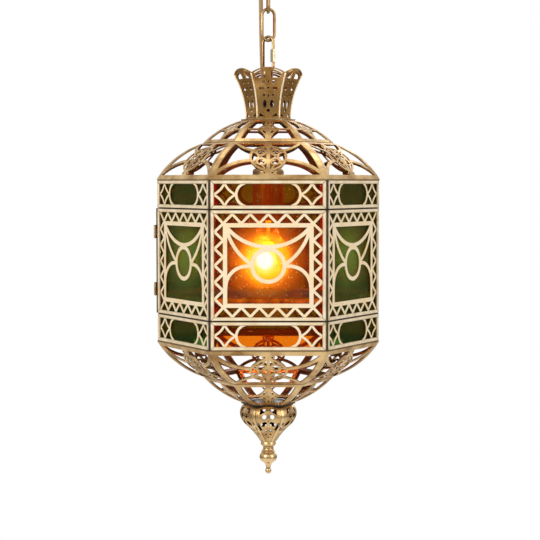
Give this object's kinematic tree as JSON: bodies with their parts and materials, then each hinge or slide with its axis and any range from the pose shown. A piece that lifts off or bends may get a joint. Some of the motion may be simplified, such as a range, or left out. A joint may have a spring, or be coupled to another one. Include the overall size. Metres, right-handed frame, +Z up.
{
  "type": "hanging lantern",
  "caption": "Hexagonal hanging lantern of pierced brass with amber and green glass, a crown, a dome, a bowl and a turned finial, on a short chain beside its cord.",
  "frame": {"origin": "centre of the canopy bracket's upper face, where it meets the ceiling", "axes": "+Z up into the ceiling, -Y towards the viewer at one flat amber face, +X to the viewer's right, corners of the hexagon at +X and -X"},
  "size_m": [0.3034, 0.2633, 0.708],
  "materials": {
    "aged_brass": "brushed antique brass",
    "pale_brass": "pale polished brass",
    "dark_brass": "dark antique brass",
    "amber_glass": "seedy amber glass",
    "green_glass": "seedy green glass",
    "clear_glass": "clear glass",
    "zinc_steel": "zinc plated",
    "bright_nut": "nickel plated",
    "cord_sleeve": "gold sleeve",
    "lead_sleeve": "white sleeve",
    "holder_plastic": "moulded",
    "terminal_plastic": "moulded",
    "lamp_filament": "glowing"
  },
  "bodies": {
    "canopy": {"ceiling_bracket": "zinc_steel", "canopy_cup": "aged_brass", "canopy_studs": "zinc_steel", "canopy_cap_nuts": "aged_brass", "canopy_loop": "aged_brass", "canopy_lock_nut": "zinc_steel", "canopy_cord_bush": "holder_plastic", "terminal_block": "terminal_plastic", "supply_cord": "cord_sleeve"},
    "upper_link": {"chain_link_upper": "aged_brass"},
    "lower_link": {"chain_link_lower": "aged_brass"},
    "shackle": {"quick_link": "aged_brass"},
    "shackle_nut": {"quick_link_nut": "bright_nut"},
    "lantern": {"lantern_loop": "aged_brass", "top_hub": "dark_brass", "crown_base_plate": "dark_brass", "stem_tube": "aged_brass", "stem_nuts": "aged_brass", "crown_panels": "aged_brass", "dome_upper_panels": "aged_brass", "dome_lower_panels": "aged_brass", "corner_posts": "dark_brass", "band_rails": "dark_brass", "top_rails": "aged_brass", "bottom_rails": "aged_brass", "upper_frames": "pale_brass", "window_frames": "pale_brass", "lower_frames": "pale_brass", "upper_frets": "pale_brass", "window_frets": "pale_brass", "lower_frets": "pale_brass", "upper_glass_amber": "amber_glass", "upper_glass_green": "green_glass", "window_glass_amber": "amber_glass", "window_glass_green": "green_glass", "lower_glass_amber": "amber_glass", "lower_glass_green": "green_glass", "glass_clips": "dark_brass", "hinge_leaves_fixed": "aged_brass", "hinge_pins": "dark_brass", "bowl_large_panels": "aged_brass", "bowl_small_panels": "aged_brass", "bottom_plate": "dark_brass", "bud_petals": "aged_brass", "bud_ribs": "aged_brass", "tie_rod": "zinc_steel", "finial": "aged_brass", "lampholder_cover": "aged_brass", "lampholder": "holder_plastic", "thread_shell": "dark_brass", "contact_tab": "dark_brass", "inner_lead": "lead_sleeve"},
    "door": {"door_frame": "pale_brass", "door_fret": "pale_brass", "door_glass": "amber_glass", "door_knob": "aged_brass", "hinge_leaves_door": "aged_brass"},
    "lamp": {"lamp_cap": "zinc_steel", "lamp_glass": "clear_glass", "filament": "lamp_filament"}
  },
  "joints": [
    {"name": "upper_link_swing", "type": "hinge", "parent": "canopy", "child": "upper_link", "pos_m": [0, 0, -0.04955], "axis": [1, 0, 0], "range_deg": [-20, 20], "deforming": ["supply_cord"]},
    {"name": "lower_link_swing", "type": "hinge", "parent": "upper_link", "child": "lower_link", "pos_m": [0, 0, -0.08695], "axis": [-0.0872, 0.9962, 0], "range_deg": [-20, 20], "deforming": ["supply_cord"]},
    {"name": "shackle_swing", "type": "hinge", "parent": "lower_link", "child": "shackle", "pos_m": [0, 0, -0.12435], "axis": [0.9744, 0.225, 0], "range_deg": [-20, 20], "deforming": ["supply_cord"]},
    {"name": "lantern_swing", "type": "hinge", "parent": "shackle", "child": "lantern", "pos_m": [0, 0, -0.1655], "axis": [0.7986, -0.6018, 0], "range_deg": [-20, 20], "deforming": ["supply_cord"]},
    {"name": "shackle_nut_travel", "type": "slide", "parent": "shackle", "child": "shackle_nut", "axis": [0, 0, 1], "range_m": [0, 0.008]},
    {"name": "door_hinge", "type": "hinge", "parent": "lantern", "child": "door", "pos_m": [-0.1518, 0, -0.41825], "axis": [0, 0, 1], "range_deg": [0, 110]},
    {"name": "lamp_withdraw", "type": "slide", "parent": "lantern", "child": "lamp", "axis": [0, 0, -1], "range_m": [0, 0.024]}
  ]
}
